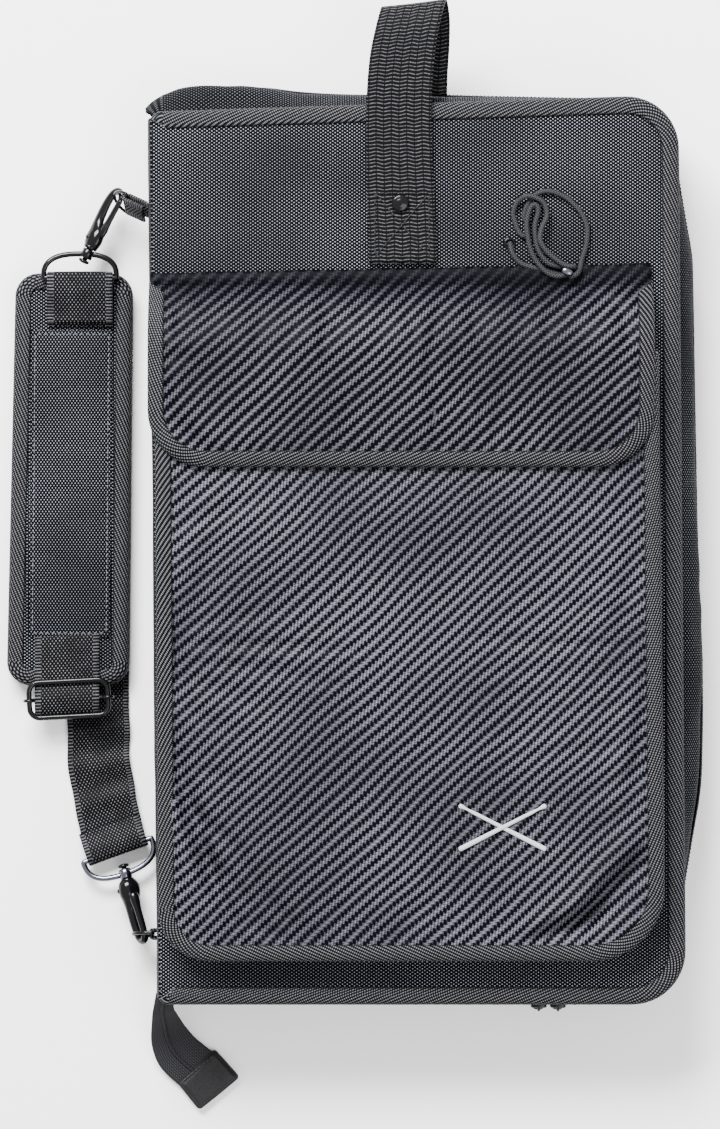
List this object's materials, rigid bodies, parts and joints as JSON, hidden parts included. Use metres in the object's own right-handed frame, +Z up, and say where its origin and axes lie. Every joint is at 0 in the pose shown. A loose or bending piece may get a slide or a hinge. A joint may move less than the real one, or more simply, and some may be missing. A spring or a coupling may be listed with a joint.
{
  "type": "drum stick bag",
  "caption": "Zipped padded drumstick bag with flap pocket, carrying handle, hanging cord and shoulder strap, lying on its back.",
  "frame": {"origin": "on the ground, under the middle of the whole bag with its strap, handle and zipper tail", "axes": "+Z up, out of the front cover; +Y towards the carrying handle; +X away from the spine"},
  "size_m": [0.3765, 0.5974, 0.083],
  "materials": {
    "basket_weave": "matt black-grey ballistic nylon",
    "ribbed_twill": "coarse twill with a soft sheen",
    "edge_tape": "herringbone binding tape",
    "webbing": "ribbed polypropylene webbing",
    "lining": "plain nylon lining",
    "zip_plastic": "black zipper coil and tape",
    "black_metal": "gloss black nickel",
    "grey_metal": "polished gunmetal",
    "elastic": "braided elastic cord",
    "smooth_vinyl": "smooth coated fabric",
    "touch_tape": "hook and loop tape"
  },
  "bodies": {
    "back": {"back_panel": "basket_weave", "back_binding": "edge_tape", "back_lining": "lining", "back_stick_pocket": "lining", "back_pocket_hem": "edge_tape", "spine_panel": "basket_weave", "rear_gusset_bottom": "basket_weave", "rear_gusset_right": "basket_weave", "rear_gusset_top": "basket_weave", "rear_zip_chain": "zip_plastic", "zip_tail_tape": "zip_plastic", "zip_tail_cap": "smooth_vinyl", "shoulder_pad": "basket_weave", "pad_binding": "edge_tape", "pad_centre_panel": "basket_weave", "upper_pad_tab": "webbing", "lower_pad_tab": "webbing", "adjusting_webbing": "webbing", "adjuster_frame": "black_metal", "adjuster_bar": "black_metal", "upper_eye": "black_metal", "lower_eye": "grey_metal", "upper_ring_tab": "webbing", "lower_ring_tab": "webbing"},
    "front": {"front_panel": "basket_weave", "front_binding": "edge_tape", "front_lining": "lining", "front_stick_pocket": "lining", "front_pocket_hem": "edge_tape", "front_gusset_bottom": "basket_weave", "front_gusset_right": "basket_weave", "front_gusset_top": "basket_weave", "front_zip_chain": "zip_plastic", "pocket_face": "ribbed_twill", "pocket_wall_left": "ribbed_twill", "pocket_wall_bottom": "ribbed_twill", "pocket_wall_right": "ribbed_twill", "pocket_binding": "edge_tape", "pocket_touch_tape": "touch_tape", "flap_seam_strip": "ribbed_twill", "handle_webbing": "webbing", "handle_rivet": "black_metal", "hanging_cord": "elastic", "cord_crimp": "grey_metal", "cord_eyelet": "black_metal"},
    "flap": {"flap_panel": "ribbed_twill", "flap_binding": "edge_tape", "flap_touch_tape": "touch_tape"},
    "left_slider": {"left_zip_slider": "black_metal"},
    "left_pull": {"left_zip_pull": "black_metal"},
    "right_slider": {"right_zip_slider": "black_metal"},
    "right_pull": {"right_zip_pull": "black_metal"},
    "upper_hook": {"upper_hook_body": "black_metal"},
    "upper_gate": {"upper_hook_gate": "black_metal"},
    "lower_hook": {"lower_hook_body": "black_metal"},
    "lower_gate": {"lower_hook_gate": "black_metal"},
    "upper_ring": {"upper_ring": "black_metal"},
    "lower_ring": {"lower_ring": "black_metal"}
  },
  "joints": [
    {"name": "front_cover_hinge", "type": "hinge", "parent": "back", "child": "front", "pos_m": [-0.1102, 0.0015, 0.055], "axis": [0.0105, -0.9999, 0], "range_deg": [0, 180]},
    {"name": "flap_hinge", "type": "hinge", "parent": "front", "child": "flap", "pos_m": [0, 0.147, 0.0619], "axis": [1, 0, 0], "range_deg": [-55, 0]},
    {"name": "left_slider_run", "type": "slide", "parent": "back", "child": "left_slider", "axis": [1, 0, 0], "range_m": [-0.185, 0]},
    {"name": "left_pull_hinge", "type": "hinge", "parent": "left_slider", "child": "left_pull", "pos_m": [0.098, -0.2434, 0.0268], "axis": [1, 0, 0], "range_deg": [-150, 0]},
    {"name": "right_slider_run", "type": "slide", "parent": "back", "child": "right_slider", "axis": [1, 0, 0], "range_m": [0, 0.028]},
    {"name": "right_pull_hinge", "type": "hinge", "parent": "right_slider", "child": "right_pull", "pos_m": [0.1084, -0.2434, 0.0268], "axis": [1, 0, 0], "range_deg": [-150, 0]},
    {"name": "upper_hook_swivel", "type": "hinge", "parent": "back", "child": "upper_hook", "pos_m": [-0.1463, 0.1666, 0.0177], "axis": [0.4467, 0.8933, 0.0494], "range_deg": [-8, 8]},
    {"name": "upper_gate_hinge", "type": "hinge", "parent": "upper_hook", "child": "upper_gate", "pos_m": [-0.13581, 0.18134, 0.02069], "axis": [-0.5559, 0.2339, 0.7977], "range_deg": [0, 6], "stiffness_Nm_per_rad": 0.01, "springref_deg": -11.46},
    {"name": "upper_ring_pivot", "type": "hinge", "parent": "back", "child": "upper_ring", "pos_m": [-0.12229, 0.19365, 0.02642], "axis": [0.5539, -0.2271, -0.801], "range_deg": [-3, 1]},
    {"name": "lower_hook_swivel", "type": "hinge", "parent": "back", "child": "lower_hook", "pos_m": [-0.12601, -0.1702, 0.00912], "axis": [0.258, -0.9484, 0.1843], "range_deg": [-8, 8]},
    {"name": "lower_gate_hinge", "type": "hinge", "parent": "lower_hook", "child": "lower_gate", "pos_m": [-0.11982, -0.18627, 0.01542], "axis": [0.8598, 0.1384, -0.4914], "range_deg": [0, 6], "stiffness_Nm_per_rad": 0.01, "springref_deg": -11.46},
    {"name": "lower_ring_pivot", "type": "hinge", "parent": "back", "child": "lower_ring", "pos_m": [-0.11017, -0.20203, 0.02185], "axis": [0, 0.2, 0.9798], "range_deg": [-3, 1]}
  ]
}
